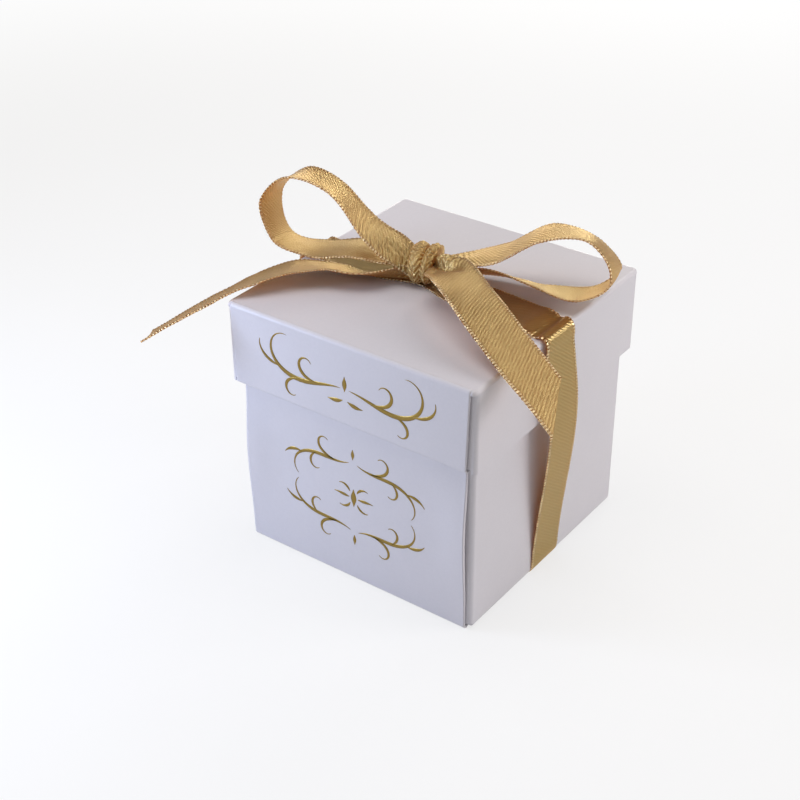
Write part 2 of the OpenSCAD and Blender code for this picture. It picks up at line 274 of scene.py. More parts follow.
def grid_faces(rows: int, cols: int, wrap_rows: bool = False, wrap_cols: bool = False) -> list:
    """Quads of a grid of points; wrapped rows or columns close on themselves."""
    r = np.arange(rows if wrap_rows else rows - 1)[:, None]
    c = np.arange(cols if wrap_cols else cols - 1)[None, :]
    r_next, c_next = (r + 1) % rows, (c + 1) % cols
    quads = np.stack([r * cols + c, r * cols + c_next, r_next * cols + c_next, r_next * cols + c], -1)
    return quads.reshape(-1, 4).tolist()


def shell(outer: Array, inner: Array) -> tuple[Array, list, int]:
    """Closed sheet between two matching grids of points.

    Args:
        outer: rows by columns of points on one face.
        inner: the same on the other face.

    Returns:
        Points, faces, and the number of the first face on the cut edges.
    """
    rows, cols = outer.shape[:2]
    top = np.array(grid_faces(rows, cols))
    under = top[:, ::-1] + rows * cols
    rim = np.concatenate([np.arange(cols), np.arange(1, rows) * cols + cols - 1,
                          (rows - 1) * cols + np.arange(cols - 2, -1, -1),
                          np.arange(rows - 2, 0, -1) * cols])
    onward = np.roll(rim, -1)
    edge = np.stack([onward, rim, rim + rows * cols, onward + rows * cols], -1)
    points = np.concatenate([outer.reshape(-1, 3), inner.reshape(-1, 3)])
    return points, np.concatenate([top, under, edge]).tolist(), 2 * len(top)


def joined(parts: Sequence[tuple[Array, list]]) -> tuple[Array, list]:
    """Stacks the points of several parts and renumbers their faces to match."""
    faces, count = [], 0
    for points, part_faces in parts:
        faces += [[corner + count for corner in face] for face in part_faces]
        count += len(points)
    return np.vstack([points for points, _ in parts]), faces


# Finishes


@dataclass(frozen=True)
class FeltedFinish:
    """A finish over board: the felt of its fibres tints the colour and lifts the surface."""

    name: str
    shade: str
    light: str
    roughness: float
    fibre_mm: float
    fibre_noise: Pair
    relief_mm: float
    relief_strength: float
    stretch: Triple = (1.0, 1.0, 1.0)
    cloud_share: float = 0.0
    cloud_mm: float = 12.0
    cloud_detail: float = 2.0
    metallic: float = 0.0
    ior: float = 1.5
    pearl: float = 0.0
    pearl_roughness: float = 0.25
    pearl_tint: str = "#FAF8FF"

    def make(self) -> Material:
        """Builds the finish: felt and clouds in its colour, felt in its bump, pearl as a coat."""
        material, tree = new_material(self.name)
        place = add_node(tree, "TexCoord").node.outputs["Object"]
        stretched = add_node(tree, "Mapping", place, named={"Scale": self.stretch})
        felt = add_node(tree, "TexNoise", stretched, 1 / (self.fibre_mm * MM), *self.fibre_noise)
        mottle = felt
        if self.cloud_share:
            cloud = add_node(tree, "TexNoise", place, 1 / (self.cloud_mm * MM), self.cloud_detail)
            mottle = add_up(tree, 0.0, (cloud, self.cloud_share), (felt, 1.0 - self.cloud_share))
        shader = add_node(tree, "BsdfPrincipled", named={
            "Base Color": add_node(tree, "Mix", mottle, self.shade, self.light, data_type="RGBA"),
            "Metallic": self.metallic, "Roughness": self.roughness, "IOR": self.ior,
            "Coat Weight": self.pearl, "Coat Roughness": self.pearl_roughness,
            "Coat Tint": self.pearl_tint, "Normal": add_node(tree, "Bump", named={
                "Height": felt, "Strength": self.relief_strength, "Distance": self.relief_mm * MM})})
        add_node(tree, "OutputMaterial", shader)
        return material


# Mica-coated pearl board, calendered smooth: a cool white with a soft broad gloss
PEARL_CARD = FeltedFinish("pearl_card", "#CDCACD", "#D8D5D7", roughness=0.45, fibre_mm=0.5,
                          fibre_noise=(3.0, 0.6), relief_mm=0.012, relief_strength=0.5,
                          cloud_share=0.4, pearl=0.3)
# Uncoated reverse of the board: matt, a little warmer, with loose fibres showing
PLAIN_CARD = FeltedFinish("plain_card", "#D0CCCA", "#DEDAD8", roughness=0.85, fibre_mm=0.7,
                          fibre_noise=(4.0, 0.5), relief_mm=0.02, relief_strength=0.6,
                          stretch=(1.0, 1.0, 0.4))
# Hot-stamped gold foil: thin bright metal pressed into the board's grain
GOLD_FOIL = FeltedFinish("gold_foil", "#86703A", "#9C8446", roughness=0.38, fibre_mm=0.5,
                         fibre_noise=(3.0, 0.5), relief_mm=0.012, relief_strength=0.4,
                         metallic=1.0)


@dataclass(frozen=True)
class GoldSatin:
    """Polyester satin ribbon, woven with long floats: a silky gold with streaked gloss.

    Real floats lie 0.1 mm apart; they are drawn 0.58 mm apart so that the slanting lines
    of the weave show as they do on the real ribbon. The colour carries painted light:
    painted shade between the float lines and over crimped cloth, painted highlights on
    glints, puckers and edge beads, and painted shade between the beads and in a line along
    the edge. Crimp, which each mesh carries, says how strongly the weave stands up and how
    strong that painted light is. A pair whose name ends in crimped is the amount on flat
    cloth and what full crimp adds to it.
    """

    thread: str = "#D9C487"
    # Painted shade: the dark colour between the float lines.
    between: str = "#584414"
    # Painted highlight on the crests of the edge beads; the next colour is painted shade in their gaps.
    edge: str = "#FFEFBE"
    bead_painted_shade: str = "#4E3A14"
    # Painted shade in a thin dark line along the edge of the weave.
    painted_groove_shade: str = "#86662F"
    groove_share: float = 0.7
    through: str = "#FFC278"
    through_share: float = 0.30
    metal: float = 0.84
    roughness: float = 0.24
    ior: float = 1.6
    streak: float = 0.65
    gloss_tint: str = "#FFF2D6"
    sheen: float = 0.2
    sheen_roughness: float = 0.4
    sheen_tint: str = "#FFF4DC"
    line_mm: float = 0.58
    line_slant_deg: float = 50.0
    line_drift_mm: float = 0.35
    pucker_mm: float = 1.0
    pucker_bend: float = 0.035
    pucker_lean: float = 0.25
    pucker_drift_mm: float = 1.2
    pucker_crimp: Pair = (0.40, 0.60)
    bead_mm: float = 0.62
    bead_painted_highlight_range: Pair = (0.15, 0.6)
    edge_at_mm: float = 3.8
    edge_blend_mm: float = 0.2
    groove_half_mm: float = 0.16
    drift_noise: Triple = (0.35, 1.0, 0.5)
    fuzz_noise: Triple = (2.2, 3.0, 0.5)
    glint_noise: Triple = (1 / 0.24, 1.0, 0.6)
    glint_lit: Pair = (0.40, 0.66)
    relief_mm: float = 0.06
    relief_strength: float = 0.8
    line_relief_crimped: Pair = (0.5, 2.1)
    glint_relief_crimped: Pair = (0.2, 1.9)
    pucker_relief: float = 3.2
    fuzz_relief: float = 0.5
    # Crimped cloth darkens the colour as painted shade.
    ground_painted_shade_crimped: Pair = (0.26, -0.42)
    # Float lines: thread colour against painted shade between them.
    line_painted_shade_crimped: Pair = (0.26, 1.2)
    # Glints brighten the colour as painted highlights.
    glint_painted_highlight: float = 0.6
    # Puckers brighten the colour as painted highlights.
    pucker_painted_highlight: float = 0.5
    fuzz_tone: float = 0.3

    def weave(self, tree: NodeTree, cloth: NodeSocket, across: NodeSocket,
              along: NodeSocket) -> tuple[NodeSocket, NodeSocket, NodeSocket]:
        """Works out the float lines, puckers and glints, and the row of beads for the edges.

        A wave is half plus half the sine of tau times its place over its pitch.

        Returns:
            The relief, the tone between the two gold colours, with its painted shade and painted
            highlights, and the wave of the beads.
        """
        crimp = add_node(tree, "Attribute", attribute_name="crimp").node.outputs["Fac"]
        drift, fuzz, grain = (add_node(tree, "TexNoise", cloth, *noise)
                              for noise in (self.drift_noise, self.fuzz_noise, self.glint_noise))
        slant = math.radians(self.line_slant_deg)
        line_at = add_up(tree, 0.0, (drift, self.line_drift_mm), (across, math.cos(slant)),
                         (along, math.sin(slant)))
        pucker_at = add_up(tree, along, (across, self.pucker_lean), (drift, self.pucker_drift_mm),
                           (add_up(tree, 0.0, (across, across)), self.pucker_bend))
        waves = []
        for at, pitch_mm in ((line_at, self.line_mm), (pucker_at, self.pucker_mm), (along, self.bead_mm)):
            turn = add_up(tree, 0.0, (at, math.tau / pitch_mm))
            waves.append(add_up(tree, 0.5, (add_node(tree, "Math", turn, operation="SINE"), 0.5)))
        lines, puckers, beads = waves
        pinch = add_node(tree, "MapRange", crimp, *self.pucker_crimp)
        glint = add_node(tree, "MapRange", grain, *self.glint_lit)
        pulled = add_up(tree, 0.0, (pinch, puckers))
        line_relief, loose, line_painted_shade, painted_shade_ground = (
            add_up(tree, flat, (strength, more)) for strength, (flat, more) in (
                (add_up(tree, 0.0, (crimp, crimp)), self.line_relief_crimped),
                (crimp, self.glint_relief_crimped), (crimp, self.line_painted_shade_crimped),
                (crimp, self.ground_painted_shade_crimped)))
        relief = add_up(tree, 0.0, (fuzz, self.fuzz_relief), (glint, loose), (lines, line_relief),
                        (pulled, self.pucker_relief))
        # Tone is painted light as well as weave: painted shade between float lines and over crimp,
        # painted highlights on glints and puckers.
        tone = add_up(tree, painted_shade_ground, (fuzz, self.fuzz_tone), (lines, line_painted_shade),
                      (add_up(tree, 0.0, (glint, loose)), self.glint_painted_highlight),
                      (pulled, self.pucker_painted_highlight))
        return relief, tone, beads

    def colour(self, tree: NodeTree, tone: NodeSocket, beads: NodeSocket,
               across: NodeSocket) -> NodeSocket:
        """Colours the weave by its tone, the edges by beads of painted highlight and painted shade, and a
        painted shade line along the edge.
        """
        from_middle = add_node(tree, "Math", across, operation="ABSOLUTE")
        at_edge = add_node(tree, "MapRange", from_middle, self.edge_at_mm,
                           self.edge_at_mm + self.edge_blend_mm)
        # Mask of painted highlight on the bead crests and painted shade between them.
        painted_bead_highlight = add_node(tree, "MapRange", beads, *self.bead_painted_highlight_range)
        past_edge = add_node(tree, "Math", from_middle, self.edge_at_mm, operation="SUBTRACT")
        from_edge = add_node(tree, "Math", past_edge, operation="ABSOLUTE")
        # Mask of the painted shade line along the edge.
        in_painted_groove_shade = add_node(tree, "MapRange", from_edge, self.groove_half_mm, 0.0, 0.0,
                             self.groove_share)
        woven = add_node(tree, "Mix", tone, self.between, self.thread, data_type="RGBA")
        beaded = add_node(tree, "Mix", painted_bead_highlight, self.bead_painted_shade, self.edge, data_type="RGBA")
        edged = add_node(tree, "Mix", at_edge, woven, beaded, data_type="RGBA")
        return add_node(tree, "Mix", in_painted_groove_shade, edged, self.painted_groove_shade, data_type="RGBA")

    def make(self) -> Material:
        """Builds the satin, in cloth millimetres: a streaked gold gloss with some light through."""
        material, tree = new_material("gold_satin")
        cloth = add_node(tree, "UVMap", uv_map="cloth")
        across, along = add_node(tree, "SeparateXYZ", cloth).node.outputs[:2]
        relief, tone, beads = self.weave(tree, cloth, across, along)
        colour = self.colour(tree, tone, beads, across)
        bump = add_node(tree, "Bump", named={"Height": relief, "Strength": self.relief_strength,
                                             "Distance": self.relief_mm * MM})
        shader = add_node(tree, "BsdfPrincipled", named={
            "Base Color": colour, "Metallic": self.metal, "Roughness": self.roughness,
            "IOR": self.ior, "Specular IOR Level": 1.0, "Specular Tint": self.gloss_tint,
            "Anisotropic": self.streak, "Normal": bump,
            "Tangent": add_node(tree, "Tangent", direction_type="UV_MAP", uv_map="cloth"),
            "Sheen Weight": self.sheen, "Sheen Roughness": self.sheen_roughness,
            "Sheen Tint": self.sheen_tint})
        through = add_node(tree, "BsdfTranslucent", self.through, bump)
        add_node(tree, "OutputMaterial",
                 add_node(tree, "MixShader", self.through_share, shader, through))
        return material


@dataclass(frozen=True)
class StudioFloor:
    """Matt white sweep: plain and pale, and it keeps the box's soft shadow."""

    colour: str = "#E4E4E4"
    glow_share: float = 0.7
    fade_m: Pair = (0.20, 0.42)

    def make(self) -> Material:
        """Builds the sweep: diffuse, and part white for rays that only look at it.

        Far from the box it is all white for those rays, so that its edge doesn't show.
        """
        material, tree = new_material("studio_floor")
        diffuse = add_node(tree, "BsdfDiffuse", self.colour)
        glow = add_node(tree, "Emission", WHITE, 1.0)
        place = add_node(tree, "TexCoord").node.outputs["Object"]
        away = add_node(tree, "VectorMath", place, operation="LENGTH")
        glow_share = add_node(tree, "MapRange", away, *self.fade_m, self.glow_share, 1.0,
                              interpolation_type="SMOOTHSTEP")
        looking = looking_share(tree, "Camera", "Glossy", "Transmission")
        share = add_up(tree, 0.0, (looking, glow_share))
        add_node(tree, "OutputMaterial", add_node(tree, "MixShader", share, diffuse, glow))
        return material


# View and light


@dataclass
class PhotoCamera:
    """Camera at the photograph's angle, worked out from the box's measured corners."""

    azimuth_deg: float = 36.37
    elevation_deg: float = 32.06
    roll_deg: float = -0.34
    distance_mm: float = 303.6
    right_mm: float = -6.58
    up_mm: float = 22.39
    focal_px: float = 1547.1
    image_px: int = 800
    sensor_mm: float = 36.0
    clip_start_m: float = 0.01

    def place(self) -> None:
        """Makes the camera and sets it as the scene's.

        It is turned by the azimuth about the upright axis and tipped by the elevation, moved
        back, right and up along its own axes, and rolled.
        """
        azimuth, elevation, roll = (
            math.radians(v) for v in (self.azimuth_deg, self.elevation_deg, self.roll_deg))
        aimed = Matrix.Rotation(azimuth, 4, "Z") @ Matrix.Rotation(math.pi / 2 - elevation, 4, "X")
        moved = Matrix.Translation(Vector((self.right_mm, self.up_mm, self.distance_mm)) * MM)
        data = bpy.data.cameras.new("photo_camera")
        data.sensor_width = self.sensor_mm
        data.sensor_fit = "HORIZONTAL"
        data.lens = self.focal_px / self.image_px * self.sensor_mm
        data.clip_start = self.clip_start_m
        camera = add_object("photo_camera", data)
        camera.matrix_world = aimed @ moved @ Matrix.Rotation(roll, 4, "Z")
        bpy.context.scene.camera = camera


@dataclass(frozen=True)
class Softbox:
    """One square lamp, aimed at the middle of the box."""

    name: str
    place_m: Triple
    side_m: float
    watts: float
    colour: str

    def hang(self, aim_m: Vector) -> None:
        """Makes the lamp and points it at a place."""
        data = bpy.data.lights.new(self.name, "AREA")
        data.shape = "SQUARE"
        data.size = self.side_m
        data.energy = self.watts
        data.color = linear(self.colour)[:3]
        lamp = add_object(self.name, data)
        lamp.visible_camera = False
        lamp.location = self.place_m
        lamp.rotation_euler = (Vector(self.place_m) - aim_m).to_track_quat("Z", "Y").to_euler()


@dataclass
class Studio:
    """Plain soft light: softboxes overhead, behind and right, and a small cool one front left.

    The two lamps named glint are small, so that the satin's gloss catches them in streaks.
    """

    lamps: tuple[Softbox, ...] = (
        Softbox("back_low_left", (-0.29, 0.37, 0.065), 0.12, 0.24, "#FFF4E6"),
        Softbox("back_glint", (-0.15, 0.42, 0.09), 0.08, 0.24, "#FFFCF6"),
        Softbox("back", (0.01, 0.38, 0.38), 0.15, 0.38, "#FFFDFC"),
        Softbox("right_back", (0.34, 0.20, 0.18), 0.20, 0.82, "#FFFBFC"),
        Softbox("front_glint", (-0.27, -0.18, 0.33), 0.06, 0.11, "#FFF4E0"),
        Softbox("front_left", (-0.118, -0.11, 0.082), 0.06, 0.19, "#CCDCFF"),
        Softbox("over", (-0.03, -0.06, 0.55), 0.36, 1.16, "#FFF9F4"),
    )
    aim_mm: Triple = (0.0, 0.0, 32.0)
    fill_strength: float = 0.24
    floor_half_m: float = 0.45

    def build(self) -> None:
        """Sets the view transform, hangs the lamps, lights the world and lays the floor."""
        scene = bpy.context.scene
        scene.view_settings.view_transform = "Standard"
        aim = Vector(self.aim_mm) * MM
        for lamp in self.lamps:
            lamp.hang(aim)
        world = bpy.data.worlds.new("studio_world")
        scene.world = world
        world.use_nodes = True
        tree = world.node_tree
        tree.nodes.clear()
        seen = looking_share(tree, "Camera", "Transmission")
        soft = add_node(tree, "Background", WHITE, self.fill_strength)
        white = add_node(tree, "Background", WHITE, 1.0)
        add_node(tree, "OutputWorld", add_node(tree, "MixShader", seen, soft, white),
                 is_active_output=True)
        h = self.floor_half_m
        mesh = bpy.data.meshes.new("studio_floor")
        mesh.from_pydata([(-h, -h, 0), (h, -h, 0), (h, h, 0), (-h, h, 0)], [], [(0, 1, 2, 3)])
        mesh.materials.append(StudioFloor().make())
        floor = add_object("studio_floor", mesh)


# The card


@dataclass
class FrontPanel:
    """Outer card panel of the front or back: a bent sheet with the spring of real board.

    The profile is a hem or a crease, a quarter turn, the wall and a half roll, all at the
    middle of the card. The wall bows out at its centre and stands off at its cut edges,
    where the card may be thinner or thicker.
    """

    name: str
    node: str
    body: Body
    start_mm: Pair
    arcs_mm: tuple[tuple[float, float, float, float, float], ...]
    half_width_mm: Pair
    wall_z_mm: Pair
    bow_mm: float = 0.0
    flare_mm: float = 0.0
    flare_z_mm: Triple = (2.0, 20.0, 34.0)
    flare_reach_mm: float = 5.0
    card_mm: float = 0.4
    edge_card_mm: float = 0.5
    edge_reach_mm: float = 0.5
    crease_z_mm: Pair = (1.0, 2.5)
    back: bool = False
    arc_steps: int = 13
    wall_steps: int = 60
    cross_steps: int = 121

    def centre_line(self) -> Array:
        """Profile points (y, z) from the start: each arc in turn, joined by straight runs.

        A point on the very place of the one before is left out.
        """
        parts = [np.array([self.start_mm])]
        for centre_y, centre_z, radius, start_deg, end_deg in self.arcs_mm:
            angle = np.radians(np.linspace(start_deg, end_deg, self.arc_steps))
            arc = np.stack([centre_y + radius * np.cos(angle),
                            centre_z + radius * np.sin(angle)], -1)
            straight = np.linspace(parts[-1][-1], arc[0], self.wall_steps)[1:]
            parts += [straight, arc[1:]]
        line = np.vstack(parts)
        moved = np.linalg.norm(np.diff(line, axis=0), axis=1) > NO_LENGTH
        return line[np.append(True, moved)]

    def up_wall(self, z: Array) -> Array:
        """Share of the way up the wall."""
        low, high = self.wall_z_mm
        return np.clip((z - low) / (high - low), 0.0, 1.0)

    def stand_off(self, x: Array, z: Array) -> Array:
        """How far the wall stands out: a cosine bow, plus a flare that dies away inwards."""
        sideways = np.cos(math.pi * x / (2 * self.half_width_mm[1]))
        bow = self.bow_mm * sideways * np.sin(math.pi * self.up_wall(z))
        z0, z1, z2 = self.flare_z_mm
        window = smooth((z - z0) / (z1 - z0)) * (1.0 - smooth((z - z1) / (z2 - z1)))
        inward = (self.half_width_mm[1] - np.abs(x)) / self.flare_reach_mm
        return bow + self.flare_mm * window * np.exp(-inward ** 2)

    def outer_face(self, x: Array, z: Array) -> Array:
        """Depth y of the front wall's outer face at each place."""
        wall_y = self.arcs_mm[0][0] - self.arcs_mm[0][2]
        return wall_y - self.card_mm / 2 - self.stand_off(x, z)

    def build(self, pearl: Material) -> None:
        """Sweeps the profile over the width and thickens it, more or less near the cut edges."""
        line = self.centre_line()
        slope = unit(np.gradient(line, axis=0))
        out = np.stack([-slope[:, 1], slope[:, 0]], -1)
        share = np.linspace(-1.0, 1.0, self.cross_steps)[:, None]
        z = line[None, :, 1]
        up = self.up_wall(z)
        half = self.half_width_mm[0] * (1 - up) + self.half_width_mm[1] * up
        x = share * half
        push = self.stand_off(x, z)
        near_edge = 1.0 - smooth((half - np.abs(x)) / self.edge_reach_mm)
        crease_low, crease_high = self.crease_z_mm
        above_crease = smooth((z - crease_low) / (crease_high - crease_low))
        card = self.card_mm + (self.edge_card_mm - self.card_mm) * near_edge * above_crease
        grids = []
        for through in (0.0, 1.0):
            depth = self.card_mm / 2 - through * card
            y = line[None, :, 0] - depth * out[None, :, 0] - push
            height = z - depth * out[None, :, 1]
            grids.append(np.stack([x, -y if self.back else y, height], -1))
        points, faces, flat_from = shell(*grids)
        piece = make_mesh(self.name, points, faces, pearl, flat_from=flat_from)
        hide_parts(self.node)
        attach(piece, self.body.value)


@dataclass
class LidCorner:
    """Soft corner of the lid: the crease's round carried about a quarter of an oval."""

    across_mm: float = 25.45
    depth_mm: float = 25.3
    height_mm: float = 50.0
    oval_mm: Pair = (0.25, 0.7)
    round_mm: Pair = (0.8, 0.4)
    steps: int = 14

    def build(self, pearl: Material, side: float, front: float) -> None:
        """Makes one corner; side and front are plus or minus one.

        Point: centre, plus the oval's half sizes each grown by radius times sin t, times
        cos p and sin p, at the height plus radius times cos t.
        """
        p = np.linspace(0.0, math.pi / 2, self.steps)[None, :]
        t = np.linspace(0.0, math.pi / 2, self.steps)[:, None]
        grids = []
        for radius in self.round_mm:
            x = self.across_mm + (self.oval_mm[0] + radius * np.sin(t)) * np.cos(p)
            y = self.depth_mm + (self.oval_mm[1] + radius * np.sin(t)) * np.sin(p)
            z = self.height_mm + radius * np.cos(t) + 0 * p
            grids.append(np.stack([side * x, front * y, z], -1))
        points, faces, flat_from = shell(*grids)
        name = f"lid_corner_{'right' if side > 0 else 'left'}_{'back' if front > 0 else 'front'}"
        piece = make_mesh(name, points, faces, pearl, flat_from=flat_from)
        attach(piece, Body.LID.value)


@dataclass
class CardBox:
    """Folded tray and lid: flat solids stay and are dressed; fronts and backs are bent anew."""

    inside_nodes: tuple[str, ...] = ("base_floor", "base_front_liner", "base_back_liner",
                                     "lid_front_liner", "lid_back_liner")

    @staticmethod
    def panels() -> list[FrontPanel]:
        """The four outer panels: tray front and back, lid front and back."""
        made = []
        for word, back in (("front", False), ("back", True)):
            made.append(FrontPanel(
                name=f"base_{word}_panel", node=f"base_{word}_wall", body=Body.BASE, back=back,
                start_mm=(-23.85, 0.45), half_width_mm=(24.2, 24.2),
                arcs_mm=((-24.45, 0.8, 0.6, 270, 180), (-24.55, 49.6, 0.5, 180, 0)),
                wall_z_mm=(0.8, 49.6), flare_mm=0.75))
            made.append(FrontPanel(
                name=f"lid_{word}_panel", node=f"lid_{word}_skirt", body=Body.LID, back=back,
                start_mm=(-26.0, 50.6), half_width_mm=(24.95, 25.45),
                arcs_mm=((-26.0, 50.0, 0.6, 90, 180), (-26.1, 35.3, 0.5, 180, 360)),
                wall_z_mm=(35.3, 50.0), bow_mm=0.2, edge_card_mm=0.16))
        return made

    def dress(self) -> None:
        """Gives every card node its finish, bends the panels and closes the lid's corners."""
        pearl, plain = PEARL_CARD.make(), PLAIN_CARD.make()
        for name, node in frame["nodes"].items():
            if name.startswith(("base_", "lid_")):
                for place in node.material_slots:
                    place.material = plain if name in self.inside_nodes else pearl
                LOG.info("card node %s dressed, %d slots", name, len(node.material_slots))
        foil = GOLD_FOIL.make()
        panels = {panel.name: panel for panel in self.panels()}
        for panel in panels.values():
            panel.build(pearl)
        for ornament in (
                FoilOrnament("lid_foil_scrolls", Body.LID, 41.0, LID_SCROLLS),
                FoilOrnament("base_foil_upper_scrolls", Body.BASE, 26.5, TRAY_SCROLLS),
                FoilOrnament("base_foil_rosette", Body.BASE, 18.5, ROSETTE_SCROLLS),
                FoilOrnament("base_foil_lower_scrolls", Body.BASE, 10.5, TRAY_SCROLLS, True)):
            ornament.build(foil, panels[f"{ornament.body.value}_front_panel"])
        for side in (-1.0, 1.0):
            for front in (-1.0, 1.0):
                LidCorner().build(pearl, side, front)


# The foil ornament


@dataclass(frozen=True)
class Scroll:
    """One stamped stroke: a curve whose bend grows evenly, thick in its belly, thin at its tips.

    A stroke starts at a place, or at a share of the way along an earlier stroke, whose
    heading it then adds to.
    """

    start_mm: Pair = (0.0, 0.0)
    heading_deg: float = 0.0
    length_mm: float = 5.0
    bend_deg: float = 0.0
    wind_deg: float = 0.0
    belly_mm: float = 0.7
    belly_at: float = 0.4
    parent: int = -1
    parent_share: float = 0.0
    tip_mm: float = 0.14
    tip_share: float = 0.04
    tip_blunt: float = 0.3
    fullness: float = 1.6
    steps: int = 64

    def line(self, start: Pair, heading: float) -> Array:
        """Rows of x, z and heading: heading + bend s + wind s^2 / 2, summed along s."""
        s = np.linspace(0.0, self.length_mm, self.steps)
        h = np.radians(heading + self.bend_deg * s + self.wind_deg * s ** 2 / 2)
        axes = [begin + np.concatenate([[0.0], np.cumsum((part[1:] + part[:-1]) / 2 * s[1])])
                for begin, part in zip(start, (np.cos(h), np.sin(h)))]
        return np.stack([*axes, h], -1)

    def width(self) -> Array:
        """Width along the stroke: the tip, plus the rest of the belly times a leaning sine."""
        u = np.linspace(0.0, 1.0, self.steps)
        lean = math.log(0.5) / math.log(self.belly_at)
        ends = np.minimum(1.0, np.minimum(u, 1.0 - u) / self.tip_share + self.tip_blunt)
        belly = np.sin(math.pi * u ** lean) ** self.fullness
        return self.tip_mm * ends + (self.belly_mm - self.tip_mm) * belly


@dataclass
class FoilOrnament:
    """Scrolls stamped in gold on the front, each drawn with its mirror image."""

    name: str
    body: Body
    height_mm: float
    scrolls: tuple[Scroll, ...]
    upside_down: bool = False
    proud_mm: float = 0.03
    sunk_mm: float = 0.05
    middle_within_mm: float = 1e-6
    cross_steps: int = 4

    def build(self, foil: Material, panel: FrontPanel) -> None:
        """Lays every scroll and its mirror image on the panel's outer face."""
        lines, parts = [], []
        flip = -1.0 if self.upside_down else 1.0
        for scroll in self.scrolls:
            start, heading = scroll.start_mm, scroll.heading_deg
            if scroll.parent >= 0:
                stem = lines[scroll.parent]
                row = stem[int(scroll.parent_share * (len(stem) - 1))]
                start, heading = (row[0], row[1]), heading + math.degrees(row[2])
            line = scroll.line(start, heading)
            lines.append(line)
            spread = scroll.width()[:, None] * np.linspace(-0.5, 0.5, self.cross_steps)[None, :]
            x = line[:, :1] - np.sin(line[:, 2:]) * spread
            z = self.height_mm + flip * (line[:, 1:2] + np.cos(line[:, 2:]) * spread)
            on_middle = np.abs(line[:, 0]).max() < self.middle_within_mm
            for mirror in (1.0,) if on_middle else (1.0, -1.0):
                grids = [np.stack([mirror * x, panel.outer_face(mirror * x, z) + depth, z], -1)
                         for depth in (self.sunk_mm, -self.proud_mm)]
                if mirror * flip < 0:
                    grids = [grid[:, ::-1] for grid in grids]
                parts.append(shell(*grids)[:2])
        piece = make_mesh(self.name, *joined(parts), foil)
        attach(piece, self.body.value)


LID_SCROLLS = (
    Scroll((0.9, 1.2), -2, 23.5, -5.2, 1.15, 0.95, 0.42),
    Scroll((0, 0), 10, 9.5, 3.0, 5.0, 0.70, parent=0, parent_share=0.22),
    Scroll((0, 0), -14, 7.0, -6.0, -7.0, 0.60, parent=0, parent_share=0.42),
    Scroll((0, 0), -30, 7.0, 4.0, 3.0, 0.65, parent=0, parent_share=0.60),
    Scroll((0.0, 0.7), 90, 3.0, 0.0, 0.0, 0.95, 0.5),
    Scroll((0.5, -1.1), -28, 3.4, 12.0, -1.0, 0.85, 0.45),
)
TRAY_SCROLLS = (
    Scroll((0.9, -0.6), -25, 17.0, 10.0, -1.95, 0.75, 0.42),
    Scroll((0, 0), 14, 8.0, -2.0, 7.5, 0.60, parent=0, parent_share=0.20),
    Scroll((0, 0), -28, 5.4, -12.0, -9.0, 0.50, parent=0, parent_share=0.45),
    Scroll((0, 0), 40, 4.4, -8.0, -3.0, 0.65, 0.45, parent=0, parent_share=0.66),
    Scroll((0.0, 0.2), 90, 2.2, 0.0, 0.0, 0.70, 0.5),
)
ROSETTE_SCROLLS = (
    Scroll((0.0, -1.9), 90, 3.8, 0.0, 0.0, 1.2, 0.5),
    Scroll((0.95, 0.0), 0, 3.4, 8.0, -6.0, 0.60),
    Scroll((0.8, 1.2), 70, 3.0, -26.0, -4.0, 0.50),
    Scroll((0.8, -1.2), -70, 3.0, 26.0, 4.0, 0.50),
)


# The ribbon


@dataclass(frozen=True)
class Fold:
    """A rise or hollow in the cloth near a root: a bell across it, a rise and fall along it."""

    height_mm: float
    centre: float
    spread: float
    start_mm: float
    peak_mm: float
    end_mm: float
    drift: float = 0.0
    ridge_mm: float = 0.0
    ridge_bow: float = 0.5

    def lift(self, v: Array, d: Array) -> Array:
        """Height: the bell exp(-((v - centre) / spread)^2) times smooth steps up and down.

        The centre drifts across the cloth along it. Where ridges are asked for, the height
        is carried on a sine along the cloth whose crests bow over the bell.

        Args:
            v: place across the cloth, minus one to one.
            d: distance from the root in millimetres.
        """
        rise = smooth((d - self.start_mm) / (self.peak_mm - self.start_mm))
        fall = 1.0 - smooth((d - self.peak_mm) / (self.end_mm - self.peak_mm))
        across = (v - self.centre - self.drift * d) / self.spread
        height = self.height_mm * np.exp(-across ** 2) * rise * fall
        if self.ridge_mm:
            height = height * np.sin(math.tau * (d - self.ridge_bow * across ** 2) / self.ridge_mm)
        return height


@dataclass(frozen=True)
class Pleats:
    """Small pleats that run out from a root and die away: a sine across the cloth."""

    height_mm: float
    cycles: float
    phase_deg: float
    reach_mm: float
    slant: float = 0.15

    def lift(self, v: Array, d: Array) -> Array:
        """Height: sin(pi cycles v + phase + slant d) times a fade over the reach."""
        wave = np.sin(math.pi * self.cycles * v + math.radians(self.phase_deg) + self.slant * d)
        return self.height_mm * wave * (1.0 - smooth(d / self.reach_mm))


